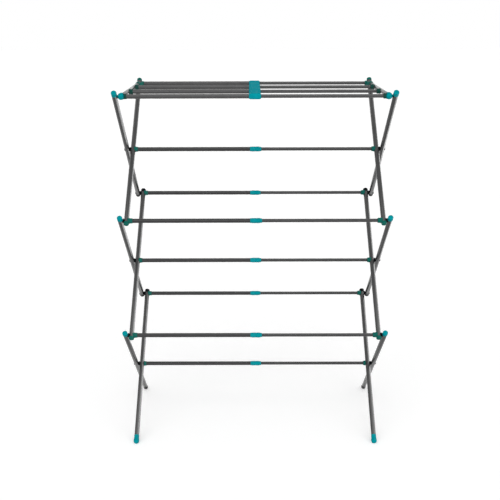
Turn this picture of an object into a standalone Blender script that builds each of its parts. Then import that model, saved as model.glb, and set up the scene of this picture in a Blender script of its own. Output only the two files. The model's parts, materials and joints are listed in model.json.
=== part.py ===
"""Three-tier folding clothes airer, as separate pieces in metres.

Two scissor sides stand left and right, each a stack of three crossed pairs of tube legs. Eleven
telescopic rails join the sides: seven hang between the legs and four make the hinged top rack.
+Z is up, the front of the airer faces -Y, and the origin is on the floor under its middle.

Leg A of a tier runs from its front top joint down to its back bottom joint, in the outer plane.
Leg B runs from its back top joint down to its front bottom joint, in the inner plane. The lower
ends of one tier share their joints with the upper ends of the next. Tier 1 is the top one.
"""

import math

import bmesh
import bpy
from mathutils import Matrix, Vector

# Overall layout
SHOWN_WIDTH = 0.762  # over the pin heads, as the airer is drawn
PUSH_IN = 0.112  # how far the right side pushes in from there, to 0.650 m in all
JOINT_DEPTH = 0.393  # between the front and back joint axes
TIER_HEIGHT = 0.3372  # between the joint axes of one level and the next
TIER_COUNT = 3
FOOT_AXIS_HEIGHT = 0.0065  # where a leg's axis meets the middle of its rounded foot

# Clearances
GAP = 0.0003  # between pieces that touch on the real airer
OVERRUN = 0.002  # how far a cutter passes the surface it cuts

# Leg tubes
LEG_RADIUS = 0.0070
LEG_WALL = 0.0008
LEG_PLANE_STEP = 0.0172  # from the outer plane of legs to the inner one

# Plastic ends of the legs
CAP_WALL = 0.0006  # of the cap on the front top end of an outer leg
CAP_REACH = 0.0200  # from a joint axis to the end of that cap
TIP_WALL = 0.0006  # of the tip on every other free end
END_REACH = 0.0150  # from a joint axis to the end of its tip
END_ROUND = 0.0030  # how far the rounded end of a cap or tip stands out
TOP_END_REACH = 0.0200  # the same at the rack's hinge
TUBE_REACH = 0.0056  # from a joint axis to the end of the bare tube
TOP_TUBE_REACH = 0.0086  # the same at the rack's hinge
PLUG_DEPTH = 0.0060  # how far a tip's plug reaches back past the joint axis
SOLID_END = 0.0090  # how far an outer leg stays solid past its joint axis

# Feet
FRONT_FOOT_WALL = 0.0013
FRONT_NECK_WALL = 0.0006  # where the front foot narrows towards its top edge
FRONT_FOOT_LENGTH = 0.0185
BACK_FOOT_WALL = 0.0006
BACK_FOOT_LENGTH = 0.0110

# Pins and hubs
PIN_RADIUS = 0.0030
PIN_HEAD_RADIUS = 0.0045
PIN_HEAD_THICKNESS = 0.0012
PIN_BLIND_DEPTH = 0.0020  # how far a hidden pin passes the outer leg's axis
SPACER_RADIUS = 0.0052
HUB_RADIUS = 0.0080  # against the leg
HUB_MOUTH_WALL = 0.0010  # round the rail, where it goes in
HUB_LENGTH = 0.0095
HUB_FLOOR = 0.0049  # plastic between the leg and the end of the rail

# Rails
RAIL_RADIUS = 0.0060  # left, outer tube
RAIL_WALL = 0.0008
SLIDE_RADIUS = 0.0048  # right, inner tube
SLIDE_WALL = 0.0007
SLIDE_STOP = 0.0040  # left between the slide's end and the hub when the airer is closed

# Collars where a slide enters its rail
COLLAR_LENGTH = 0.0330
COLLAR_WALL = 0.0012
COLLAR_LIP_WALL = 0.0007
COLLAR_LIP = 0.0030
COLLAR_SHIFT = 0.0030  # of the lower rails' collars, to the right of the middle
RAIL_PAST_MIDDLE = 0.0060  # how far the outer tube reaches past the middle of its collar

# Top rack
RACK_RISE = 0.0045  # of the rack's hinge over the pegs that its front rests on
RACK_DROP = 0.0040  # of the front rail below the hinge
RACK_RAIL_COUNT = 4
ARM_RADIUS = 0.0060
ARM_WALL = 0.0008
ARM_CAP_WALL = 0.0032  # of the front cap
ARM_CAP_FRONT = 0.0100  # from the front rail's axis to the end of the cap
ARM_CAP_SKIRT = 0.0110
ARM_END_LAP = 0.0001  # how far the round back cap reaches into the flat ear beside it
ARM_HUB_LENGTH = 0.0075
PEG_END_INSET = 0.0015  # from the arm's axis plane to the end of the peg
EAR_START = 0.0210  # from the rack's hinge axis to the back cap
EAR_CAP_LENGTH = 0.0160
EAR_DEPTH = 0.0045  # from the hub's outer face to the flat ear's inner face
EAR_HALF_HEIGHT = 0.0060
EAR_STOP = 0.0041  # from the hinge axis back to the flat ear's end, inside its hub
EAR_PIN_DEPTH = 0.0040
ARM_HUB_ROOT = 0.0045  # from the arm's axis plane to where its hubs begin
BRIDGE_WALL = 0.0018  # over and under the rails
BRIDGE_OVERHANG = 0.0100  # of the bridge past the front and back rails
BRIDGE_EDGE = 0.0025

# Facets
SIDES = 14
DOME_RINGS = 3
HOOK_STEPS = 7

# Finishes: base colour, roughness and metallic
FINISHES = {
    "grey_tube": ((0.115, 0.115, 0.118, 1.0), 0.42, 0.35),
    "teal_plastic": ((0.006, 0.270, 0.300, 1.0), 0.38, 0.0),
}

SIDE_NAMES = ("left", "right")

# Worked out from the sizes above
SIDE_REACH = LEG_RADIUS + GAP + PIN_HEAD_THICKNESS  # from the outer plane to a pin's head
LEAN = math.atan2(TIER_HEIGHT, JOINT_DEPTH)  # of every leg, over the floor
LINK = math.hypot(TIER_HEIGHT, JOINT_DEPTH)
OUTER_PLANE = SHOWN_WIDTH / 2 - SIDE_REACH
INNER_PLANE = OUTER_PLANE - LEG_PLANE_STEP
LEG_BORE = LEG_RADIUS - LEG_WALL
ARM_BORE = ARM_RADIUS - ARM_WALL
CAP_RADIUS = LEG_RADIUS + CAP_WALL
TIP_RADIUS = LEG_RADIUS + TIP_WALL
FRONT_FOOT_RADIUS = LEG_RADIUS + FRONT_FOOT_WALL
FRONT_FOOT_NECK = LEG_RADIUS + FRONT_NECK_WALL
BACK_FOOT_RADIUS = LEG_RADIUS + BACK_FOOT_WALL
HUB_MOUTH_RADIUS = RAIL_RADIUS + HUB_MOUTH_WALL
COLLAR_RADIUS = RAIL_RADIUS + COLLAR_WALL
COLLAR_LIP_RADIUS = RAIL_RADIUS + COLLAR_LIP_WALL
ARM_CAP_RADIUS = ARM_RADIUS + ARM_CAP_WALL
ARM_END_RADIUS = TIP_RADIUS + GAP + ARM_END_LAP
BRIDGE_HALF_THICKNESS = RAIL_RADIUS + BRIDGE_WALL
HUB_BASE = INNER_PLANE - LEG_RADIUS - GAP
RAIL_END = HUB_BASE - HUB_FLOOR - GAP
SLIDE_LENGTH = 2 * RAIL_END - PUSH_IN - SLIDE_STOP
RACK_EXTRA = RACK_RISE / math.sin(LEAN)  # more leg above the top joint of leg B 1
CAP_SWEEP = math.hypot(END_ROUND * math.cos(LEAN), CAP_RADIUS * math.sin(LEAN))
TIP_SWEEP = math.hypot(END_ROUND * math.cos(LEAN), TIP_RADIUS * math.sin(LEAN))
BACK_AXIAL = RACK_EXTRA + TOP_END_REACH - END_ROUND  # along the leg, from its top joint
FRONT_REACH = JOINT_DEPTH / 2 + (CAP_REACH - END_ROUND) * math.cos(LEAN) + CAP_SWEEP
BACK_REACH = JOINT_DEPTH / 2 + BACK_AXIAL * math.cos(LEAN) + TIP_SWEEP
MIDDLE = (FRONT_REACH - BACK_REACH) / 2  # puts the origin under the middle of the airer
FRONT = MIDDLE - JOINT_DEPTH / 2
BACK = MIDDLE + JOINT_DEPTH / 2
RACK_HEIGHT = FOOT_AXIS_HEIGHT + TIER_COUNT * TIER_HEIGHT + RACK_RISE
RACK_BACK = BACK + RACK_EXTRA * math.cos(LEAN)
RACK_TILT = math.asin(RACK_DROP / (RACK_BACK - FRONT))


def clear_scene():
    for old in list(bpy.data.objects):
        bpy.data.objects.remove(old, do_unlink=True)


def collection(name, hidden):
    made = bpy.data.collections.new(name)
    bpy.context.scene.collection.children.link(made)
    made.hide_render = hidden
    return made


def make_finishes():
    made = {}
    for name, (colour, roughness, metallic) in FINISHES.items():
        material = bpy.data.materials.new(name)
        material.use_nodes = True
        shader = material.node_tree.nodes["Principled BSDF"]
        shader.inputs["Base Color"].default_value = colour
        shader.inputs["Roughness"].default_value = roughness
        shader.inputs["Metallic"].default_value = metallic
        made[name] = material
    return made


clear_scene()
AIRER = collection("three_tier_airer", hidden=False)
CUTTERS = collection("cutters", hidden=True)
MATERIALS = make_finishes()


def outwards(side):
    """Sign of X on a side of the airer."""
    return -1 if side == "left" else 1


def level(number):
    """Height of the joints at a level: 0 is the feet and 3 is the top."""
    return FOOT_AXIS_HEIGHT + number * TIER_HEIGHT


def joint(kind, number):
    """Centre of a joint in the side view. Front and back joints take a level, pivots a tier."""
    if kind == "front":
        return Vector((0.0, FRONT, level(number)))
    if kind == "back":
        return Vector((0.0, BACK, level(number)))
    if kind == "rack":
        return Vector((0.0, RACK_BACK, RACK_HEIGHT))
    return Vector((0.0, MIDDLE, level(TIER_COUNT - number) + TIER_HEIGHT / 2))


def place(obj, group):
    group.objects.link(obj)
    if group is CUTTERS:
        obj.hide_render = True
        obj.display_type = "WIRE"
    return obj


def dome(radius, centre, end, rings=DOME_RINGS):
    """Profile points of a rounded end, from its pole to its full radius."""
    rise = end - centre
    turns = [math.pi / 2 * ring / rings for ring in range(rings + 1)]
    return [(radius * math.sin(turn), centre + rise * math.cos(turn)) for turn in turns]


def turned(name, chains, group, sides=SIDES):
    """A shape turned round its own Z. Each chain lists (radius, height) points: downwards along
    an outer surface, and upwards along the wall of a hollow."""
    mesh = bpy.data.meshes.new(name)
    points, edges = [], []
    for chain, is_loop in chains:
        first = len(points)
        points += [(radius, 0.0, height) for radius, height in chain]
        edges += [(first + i, first + i + 1) for i in range(len(chain) - 1)]
        if is_loop:
            edges.append((len(points) - 1, first))
    mesh.from_pydata(points, edges, [])
    obj = place(bpy.data.objects.new(name, mesh), group)
    screw = obj.modifiers.new("turn", "SCREW")
    screw.steps = screw.render_steps = sides
    screw.use_merge_vertices = True
    screw.merge_threshold = 0.000001
    screw.use_smooth_shade = True
    return obj


def cylinder(name, radius, length, matrix, group, sides=SIDES):
    mesh = bpy.data.meshes.new(name)
    shape = bmesh.new()
    bmesh.ops.create_cone(
        shape, cap_ends=True, segments=sides, radius1=radius, radius2=radius, depth=length
    )
    shape.to_mesh(mesh)
    shape.free()
    obj = place(bpy.data.objects.new(name, mesh), group)
    obj.matrix_world = matrix
    return obj


def block(name, low, high, group):
    mesh = bpy.data.meshes.new(name)
    shape = bmesh.new()
    size = Vector(high) - Vector(low)
    centre = (Vector(high) + Vector(low)) / 2
    bmesh.ops.create_cube(shape, size=1.0, matrix=Matrix.LocRotScale(centre, None, size))
    shape.to_mesh(mesh)
    shape.free()
    return place(bpy.data.objects.new(name, mesh), group)


def prism(name, outline, low, high, group):
    """A flat outline of (y, z) points carried along X from low to high."""
    count = len(outline)
    points = [(x, y, z) for x in (low, high) for y, z in outline]
    faces = [tuple(range(count)), tuple(range(count, 2 * count))]
    for i in range(count):
        after = (i + 1) % count
        faces.append((i, after, count + after, count + i))
    mesh = bpy.data.meshes.new(name)
    mesh.from_pydata(points, [], faces)
    shape = bmesh.new()
    shape.from_mesh(mesh)
    bmesh.ops.recalc_face_normals(shape, faces=shape.faces)
    shape.to_mesh(mesh)
    shape.free()
    return place(bpy.data.objects.new(name, mesh), group)


def combine(obj, other, operation):
    step = obj.modifiers.new(operation.lower(), "BOOLEAN")
    step.operation = operation
    step.object = other
    step.solver = "EXACT"


def finish(obj, finish_name, body):
    """Applies the modifiers, shades the piece smooth and hangs it on its body's empty."""
    bpy.context.view_layer.update()
    evaluated = obj.evaluated_get(bpy.context.evaluated_depsgraph_get())
    mesh = bpy.data.meshes.new_from_object(evaluated)
    obj.modifiers.clear()
    obj.data = mesh
    mesh.name = obj.name
    mesh.shade_smooth()
    mesh.set_sharp_from_angle(angle=math.radians(40))
    mesh.materials.clear()
    mesh.materials.append(MATERIALS[finish_name])
    world = obj.matrix_world.copy()
    obj.parent = body
    obj.matrix_parent_inverse = Matrix()
    obj.matrix_world = world
    for cutter in list(CUTTERS.objects):
        bpy.data.objects.remove(cutter, do_unlink=True)
    return obj


def across(side, point):
    """Frame whose Z points outwards through a joint, from the middle plane of the airer."""
    turn = Matrix.Rotation(outwards(side) * math.pi / 2, 4, "Y")
    return Matrix.Translation(point) @ turn


def along_leg(side, plane, lean_sign, point):
    """Frame at a point of a leg, with Z up along it. lean_sign is 1 for A and -1 for B."""
    turn = Matrix.Rotation(lean_sign * (math.pi / 2 - LEAN), 4, "X")
    return Matrix.Translation(point + Vector((outwards(side) * plane, 0.0, 0.0))) @ turn


def pin_hole(leg, side, point, inner, outer):
    """Cuts the clearance hole for a pin, between two distances from the middle plane."""
    centre = point + Vector((outwards(side) * (inner + outer) / 2, 0.0, 0.0))
    hole = cylinder(
        "hole", PIN_RADIUS + GAP, outer - inner, across(side, centre), CUTTERS
    )
    combine(leg, hole, "DIFFERENCE")


def hole_through(leg, side, plane, point):
    reach = LEG_RADIUS + OVERRUN
    pin_hole(leg, side, point, plane - reach, plane + reach)


def cut_flat_on_floor(leg):
    """Flattens a foot where it stands."""
    half = SHOWN_WIDTH
    floor = block("floor", (-half, -half, -half), (half, half, 0.0), CUTTERS)
    combine(leg, floor, "DIFFERENCE")


def leg_hollow(bottom, top):
    """Profile of the closed bore of an outer leg."""
    return [(0.0, bottom), (LEG_BORE, bottom), (LEG_BORE, top), (0.0, top)]


def foot_profile(radius, neck, length):
    """A rounded foot round the lower end of a leg, from its top edge down to its pole."""
    low = -LINK / 2
    pole_first = dome(radius, low, low - radius, DOME_RINGS + 1)
    return [(LEG_RADIUS, low + length), (neck, low + length)] + pole_first[::-1]


def make_leg_a(tier, side, body):
    """Outer leg: a tube with its front top cap and its lower tip or back foot."""
    top = LINK / 2
    low = -LINK / 2
    outside = dome(CAP_RADIUS, top + CAP_REACH - END_ROUND, top + CAP_REACH)
    outside += [(CAP_RADIUS, top + TUBE_REACH), (LEG_RADIUS, top + TUBE_REACH)]
    if tier == TIER_COUNT:
        outside += foot_profile(BACK_FOOT_RADIUS, BACK_FOOT_RADIUS, BACK_FOOT_LENGTH)
        hollow_from = low + BACK_FOOT_LENGTH
    else:
        end = low - END_REACH
        outside += [(LEG_RADIUS, low - TUBE_REACH), (TIP_RADIUS, low - TUBE_REACH)]
        outside += dome(TIP_RADIUS, end + END_ROUND, end)[::-1]
        hollow_from = low + SOLID_END
    hollow = leg_hollow(hollow_from, top - SOLID_END)
    leg = turned(f"leg_a{tier}_{side}", [(outside, False), (hollow, False)], AIRER)
    leg.matrix_world = along_leg(side, OUTER_PLANE, 1, joint("pivot", tier))
    hole_through(leg, side, OUTER_PLANE, joint("pivot", tier))
    top_level = TIER_COUNT + 1 - tier
    if tier == 1:
        add_rack_peg(leg, side)
    else:
        inner = OUTER_PLANE - LEG_RADIUS - OVERRUN
        outer = OUTER_PLANE + PIN_BLIND_DEPTH + GAP
        pin_hole(leg, side, joint("front", top_level), inner, outer)
    if tier == TIER_COUNT:
        cut_flat_on_floor(leg)
    else:
        hole_through(leg, side, OUTER_PLANE, joint("back", top_level - 1))
    return finish(leg, "grey_tube", body)


def add_rack_peg(leg, side):
    """The peg on the top cap that the rack's hook drops over."""
    inner = INNER_PLANE - PEG_END_INSET
    centre = Vector((outwards(side) * (inner + OUTER_PLANE) / 2, 0.0, 0.0))
    frame = across(side, joint("front", TIER_COUNT) + centre)
    peg = cylinder("peg", PIN_RADIUS, OUTER_PLANE - inner, frame, CUTTERS)
    combine(leg, peg, "UNION")


def make_leg_b(tier, side, body):
    """Inner leg: a tube open at both ends, or closed by the front foot on the bottom tier."""
    over_joint = RACK_EXTRA + TOP_TUBE_REACH if tier == 1 else TUBE_REACH
    top = LINK / 2 + over_joint
    low = -LINK / 2 - TUBE_REACH
    if tier == TIER_COUNT:
        foot_top = -LINK / 2 + FRONT_FOOT_LENGTH
        bore = [(0.0, foot_top), (LEG_BORE, foot_top), (LEG_BORE, top), (LEG_RADIUS, top)]
        foot = foot_profile(FRONT_FOOT_RADIUS, FRONT_FOOT_NECK, FRONT_FOOT_LENGTH)
        chain = (bore + foot, False)
    else:
        chain = (
            [(LEG_RADIUS, top), (LEG_RADIUS, low), (LEG_BORE, low), (LEG_BORE, top)],
            True,
        )
    leg = turned(f"leg_b{tier}_{side}", [chain], AIRER)
    leg.matrix_world = along_leg(side, INNER_PLANE, -1, joint("pivot", tier))
    top_level = TIER_COUNT + 1 - tier
    upper = joint("rack", 0) if tier == 1 else joint("back", top_level)
    hole_through(leg, side, INNER_PLANE, joint("pivot", tier))
    hole_through(leg, side, INNER_PLANE, upper)
    if tier == TIER_COUNT:
        cut_flat_on_floor(leg)
    else:
        hole_through(leg, side, INNER_PLANE, joint("front", top_level - 1))
    return finish(leg, "grey_tube", body)


def socket_profile(rail_radius, length=HUB_LENGTH):
    """The end of a hub's profile: its cone, its mouth and the socket for the rail."""
    mouth = HUB_BASE - length
    socket = rail_radius + GAP
    return [
        (HUB_RADIUS, HUB_BASE),
        (HUB_MOUTH_RADIUS, mouth),
        (socket, mouth),
        (socket, HUB_BASE - HUB_FLOOR),
        (0.0, HUB_BASE - HUB_FLOOR),
    ]


def head_profile(seat):
    """A low domed pin head that sits just off a leg's outer side."""
    face = seat + GAP
    rounded = dome(PIN_HEAD_RADIUS, face, face + PIN_HEAD_THICKNESS, 2)
    return rounded + [(PIN_RADIUS, face)]


def hub_profile(rail_radius, has_head):
    """A hub seen along its pin: the head or the blind end, the spacer between the legs, and the
    socket that carries a rail."""
    if has_head:
        outer_end = head_profile(OUTER_PLANE + LEG_RADIUS)
    else:
        blind = OUTER_PLANE + PIN_BLIND_DEPTH
        outer_end = [(0.0, blind), (PIN_RADIUS, blind)]
    spacer_top = OUTER_PLANE - LEG_RADIUS - GAP
    spacer_low = INNER_PLANE + LEG_RADIUS + GAP
    spacer = [
        (PIN_RADIUS, spacer_top),
        (SPACER_RADIUS, spacer_top),
        (SPACER_RADIUS, spacer_low),
        (PIN_RADIUS, spacer_low),
    ]
    return outer_end + spacer + [(PIN_RADIUS, HUB_BASE)] + socket_profile(rail_radius)


def add_tip(hub, side, point, end_sign, tube_reach=TUBE_REACH, end_reach=END_REACH):
    """Joins the plug and rounded tip that close the end of an inner leg."""
    plug = LEG_BORE - GAP
    shoulder = tube_reach + GAP
    rounded = dome(TIP_RADIUS, end_reach - END_ROUND, end_reach)
    profile = rounded + [
        (TIP_RADIUS, shoulder),
        (plug, shoulder),
        (plug, -PLUG_DEPTH),
        (0.0, -PLUG_DEPTH),
    ]
    tip = turned("tip", [(profile, False)], CUTTERS)
    frame = along_leg(side, INNER_PLANE, -1, point)
    if end_sign < 0:
        frame = frame @ Matrix.Rotation(math.pi, 4, "X")
    tip.matrix_world = frame
    combine(hub, tip, "UNION")


def rail_radius_on(side):
    return RAIL_RADIUS if side == "left" else SLIDE_RADIUS


def make_hub(name, side, point, has_head, tip_sign, body):
    profile = hub_profile(rail_radius_on(side), has_head)
    hub = turned(f"{name}_{side}", [(profile, False)], AIRER)
    hub.matrix_world = across(side, point)
    if tip_sign:
        add_tip(hub, side, point, tip_sign)
    return finish(hub, "teal_plastic", body)


def make_top_hub(side, body):
    """Closes the top of leg B 1, and its pin carries the rack's ear."""
    point = joint("rack", 0)
    ear_face = INNER_PLANE - LEG_RADIUS - GAP
    pin_end = ear_face - EAR_PIN_DEPTH
    profile = head_profile(INNER_PLANE + LEG_RADIUS) + [(PIN_RADIUS, pin_end), (0.0, pin_end)]
    hub = turned(f"top_hub_{side}", [(profile, False)], AIRER)
    hub.matrix_world = across(side, point)
    add_tip(hub, side, point, 1, TOP_TUBE_REACH, TOP_END_REACH)
    return finish(hub, "teal_plastic", body)


def make_tube(name, radius, wall, start, end, point, body):
    """A straight tube along X, open at both ends."""
    bore = radius - wall
    loop = [(radius, end), (radius, start), (bore, start), (bore, end)]
    tube = turned(name, [(loop, True)], AIRER)
    tube.matrix_world = across("right", point)
    return finish(tube, "grey_tube", body)


def make_rail(name, point, mouth, left_body, right_body):
    """A rail: the thick tube on the left, up to its mouth, and the thin one that slides in it."""
    make_tube(f"{name}_tube", RAIL_RADIUS, RAIL_WALL, -RAIL_END, mouth, point, left_body)
    make_tube(
        f"{name}_slide",
        SLIDE_RADIUS,
        SLIDE_WALL,
        RAIL_END - SLIDE_LENGTH,
        RAIL_END,
        point,
        right_body,
    )


def make_collar(name, point, body):
    """The plastic collar on the mouth of a rail's thick tube."""
    half = COLLAR_LENGTH / 2
    rail_bore = RAIL_RADIUS + GAP
    slide_bore = SLIDE_RADIUS + GAP
    step = RAIL_PAST_MIDDLE + GAP
    loop = [
        (COLLAR_LIP_RADIUS, half),
        (COLLAR_RADIUS, half - COLLAR_LIP),
        (COLLAR_RADIUS, -half + COLLAR_LIP),
        (COLLAR_LIP_RADIUS, -half),
        (rail_bore, -half),
        (rail_bore, step),
        (slide_bore, step),
        (slide_bore, half),
    ]
    collar = turned(name, [(loop, True)], AIRER)
    collar.matrix_world = across("right", point + Vector((COLLAR_SHIFT, 0.0, 0.0)))
    return finish(collar, "teal_plastic", body)


def rack_rail_point(number):
    """Axis of a rail of the level rack, 1 at the front and 4 over the hinge at the back."""
    share = (number - 1) / (RACK_RAIL_COUNT - 1)
    return Vector((0.0, FRONT + (RACK_BACK - FRONT) * share, RACK_HEIGHT))


def let_down():
    """The small turn about the hinge that lets the level rack down onto its pegs."""
    hinge = Matrix.Translation(joint("rack", 0))
    return hinge @ Matrix.Rotation(RACK_TILT, 4, "X") @ hinge.inverted()


def make_bridge(body):
    """The moulded bridge that ties the four rails of the rack and guides their slides."""
    half = COLLAR_LENGTH / 2
    low = (
        -half,
        FRONT - BRIDGE_OVERHANG,
        RACK_HEIGHT - BRIDGE_HALF_THICKNESS,
    )
    high = (half, RACK_BACK + BRIDGE_OVERHANG, RACK_HEIGHT + BRIDGE_HALF_THICKNESS)
    bridge = block("rack_bridge", low, high, AIRER)
    bevel = bridge.modifiers.new("rounded edges", "BEVEL")
    bevel.width = BRIDGE_EDGE
    bevel.segments = 2
    step = RAIL_PAST_MIDDLE + GAP
    past = half + OVERRUN
    profile = [
        (0.0, past),
        (SLIDE_RADIUS + GAP, past),
        (SLIDE_RADIUS + GAP, step),
        (RAIL_RADIUS + GAP, step),
        (RAIL_RADIUS + GAP, -past),
        (0.0, -past),
    ]
    for number in range(1, RACK_RAIL_COUNT + 1):
        bore = turned(f"bore_{number}", [(profile, False)], CUTTERS)
        bore.matrix_world = across("right", rack_rail_point(number))
        combine(bridge, bore, "DIFFERENCE")
    return finish(bridge, "teal_plastic", body)


def arm_profile():
    """Side arm of the rack, turned round its own axis, with its front at the bottom."""
    front = rack_rail_point(1).y
    tip = front - ARM_CAP_FRONT
    back = RACK_BACK - EAR_START
    outside = [
        (0.0, back),
        (ARM_END_RADIUS, back),
        (ARM_END_RADIUS, back - EAR_CAP_LENGTH),
        (ARM_RADIUS, back - EAR_CAP_LENGTH),
        (ARM_RADIUS, front + ARM_CAP_SKIRT),
        (ARM_CAP_RADIUS, front + ARM_CAP_SKIRT),
    ]
    outside += dome(ARM_CAP_RADIUS, tip + ARM_CAP_RADIUS, tip)[::-1]
    return outside


def make_arm(side, body):
    """Side arm of the rack: the tube, its front cap with the hook, the hubs of its rails and the
    ear that turns on the top of leg B 1. Its bore opens into the hook."""
    sign = outwards(side)
    arm = turned(f"rack_arm_{side}", [(arm_profile(), False)], AIRER)
    turn = Matrix.Rotation(-math.pi / 2, 4, "X")
    arm.matrix_world = Matrix.Translation((sign * INNER_PLANE, 0.0, RACK_HEIGHT)) @ turn
    add_ear(arm, side)
    for number in range(1, RACK_RAIL_COUNT):
        root = [(0.0, INNER_PLANE - ARM_HUB_ROOT), (HUB_RADIUS, INNER_PLANE - ARM_HUB_ROOT)]
        add_arm_hub(arm, side, number, root)
    hole = PIN_RADIUS + GAP
    floor = HUB_BASE - EAR_PIN_DEPTH - GAP
    add_arm_hub(arm, side, RACK_RAIL_COUNT, [(0.0, floor), (hole, floor), (hole, HUB_BASE)])
    cut_hook(arm, side)
    cut_arm_bore(arm, side)
    return finish(arm, "grey_tube", body)


def add_ear(arm, side):
    """The flat ear that runs from the arm's back cap to the hinge, inside leg B 1."""
    sign = outwards(side)
    inner, outer = HUB_BASE - EAR_DEPTH, INNER_PLANE - TIP_RADIUS - GAP
    xs = sorted((sign * inner, sign * outer))
    back = RACK_BACK - EAR_STOP
    front = RACK_BACK - EAR_START - EAR_CAP_LENGTH + OVERRUN
    low = (xs[0], front, RACK_HEIGHT - EAR_HALF_HEIGHT)
    high = (xs[1], back, RACK_HEIGHT + EAR_HALF_HEIGHT)
    combine(arm, block("ear", low, high, CUTTERS), "UNION")


def add_arm_hub(arm, side, number, root):
    """A hub on the arm's inner side. root is the outer end of its profile."""
    profile = root + socket_profile(rail_radius_on(side), ARM_HUB_LENGTH)
    hub = turned(f"arm_hub_{number}", [(profile, False)], CUTTERS)
    hub.matrix_world = across(side, rack_rail_point(number))
    combine(arm, hub, "UNION")


def cut_hook(arm, side):
    """A slot open downwards in the front cap, rounded over the peg."""
    sign = outwards(side)
    half = PIN_RADIUS + GAP
    inner = INNER_PLANE - PEG_END_INSET - GAP
    outer = INNER_PLANE + ARM_CAP_RADIUS + OVERRUN
    peg = let_down().inverted() @ joint("front", TIER_COUNT)
    turns = [math.pi * i / HOOK_STEPS for i in range(HOOK_STEPS + 1)]
    outline = [(peg.y + half * math.cos(turn), peg.z + half * math.sin(turn)) for turn in turns]
    outline += [(peg.y - half, peg.z - ARM_CAP_RADIUS), (peg.y + half, peg.z - ARM_CAP_RADIUS)]
    low, high = sorted((sign * inner, sign * outer))
    combine(arm, prism("slot", outline, low, high, CUTTERS), "DIFFERENCE")


def cut_arm_bore(arm, side):
    """The arm's bore, from behind the hook to the back cap."""
    start = rack_rail_point(1).y + PIN_RADIUS / 2
    end = RACK_BACK - EAR_START - EAR_CAP_LENGTH
    centre = Vector((outwards(side) * INNER_PLANE, (start + end) / 2, RACK_HEIGHT))
    frame = Matrix.Translation(centre) @ Matrix.Rotation(math.pi / 2, 4, "X")
    bore = cylinder("arm_bore", ARM_BORE, end - start, frame, CUTTERS)
    combine(arm, bore, "DIFFERENCE")


def make_bodies():
    """One empty for each moving group, on the axis that it turns about."""
    axes = {"base": joint("pivot", 3), "rack": joint("rack", 0)}
    axes.update({"a3": joint("pivot", 3), "b3": joint("pivot", 3)})
    axes.update({"b2": joint("front", 1), "a2": joint("pivot", 2)})
    axes.update({"b1": joint("front", 2), "a1": joint("pivot", 1)})
    bodies = {}
    for side in SIDE_NAMES:
        for name, axis in axes.items():
            empty = bpy.data.objects.new(f"{name}_{side}_axis", None)
            AIRER.objects.link(empty)
            empty.location = axis
            empty.empty_display_size = HUB_RADIUS
            bodies[name, side] = empty
    return bodies


# Each lower rail: its joint, the body of leg B that carries it, and its hub's head and tip.
LOWER_RAILS = {
    "pivot_rail_1": ("pivot", 1, "b1", True, 0),
    "pivot_rail_2": ("pivot", 2, "b2", True, 0),
    "pivot_rail_3": ("pivot", 3, "base", True, 0),
    "front_rail_1": ("front", 2, "b1", False, -1),
    "front_rail_2": ("front", 1, "b2", False, -1),
    "back_rail_1": ("back", 2, "b2", True, 1),
    "back_rail_2": ("back", 1, "b3", True, 1),
}


def make_airer():
    bodies = make_bodies()
    for side in SIDE_NAMES:
        for tier in range(1, TIER_COUNT + 1):
            make_leg_a(tier, side, bodies[f"a{tier}", side])
            make_leg_b(tier, side, bodies[f"b{tier}", side])
        make_top_hub(side, bodies["b1", side])
        make_arm(side, bodies["rack", side])
    for name, (kind, number, carrier, has_head, tip_sign) in LOWER_RAILS.items():
        point = joint(kind, number)
        mouth = COLLAR_SHIFT + RAIL_PAST_MIDDLE
        make_rail(name, point, mouth, bodies[carrier, "left"], bodies[carrier, "right"])
        make_collar(name.replace("rail", "collar"), point, bodies[carrier, "left"])
        for side in SIDE_NAMES:
            hub = name.replace("rail", "hub")
            make_hub(hub, side, point, has_head, tip_sign, bodies[carrier, side])
    for number in range(1, RACK_RAIL_COUNT + 1):
        point = rack_rail_point(number)
        left, right = bodies["rack", "left"], bodies["rack", "right"]
        make_rail(f"rack_rail_{number}", point, RAIL_PAST_MIDDLE, left, right)
    make_bridge(bodies["rack", "left"])
    for side in SIDE_NAMES:
        rack = bodies["rack", side]
        rack.matrix_world = let_down() @ rack.matrix_world
    bpy.context.view_layer.update()


make_airer()
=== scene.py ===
"""Looks of the folding clothes airer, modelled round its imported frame, in metres.

Every visible piece is modelled here at the place that the frame gives, rides on its body and
stands for its solid. Turned pieces are drawn up from a flat ring, the rack's bridge from a flat
section, and its ears from boxes. Sizes come from the frame's boxes and joints wherever they can.
"""

import json
import math

import bpy
from mathutils import Matrix, Vector

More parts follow.
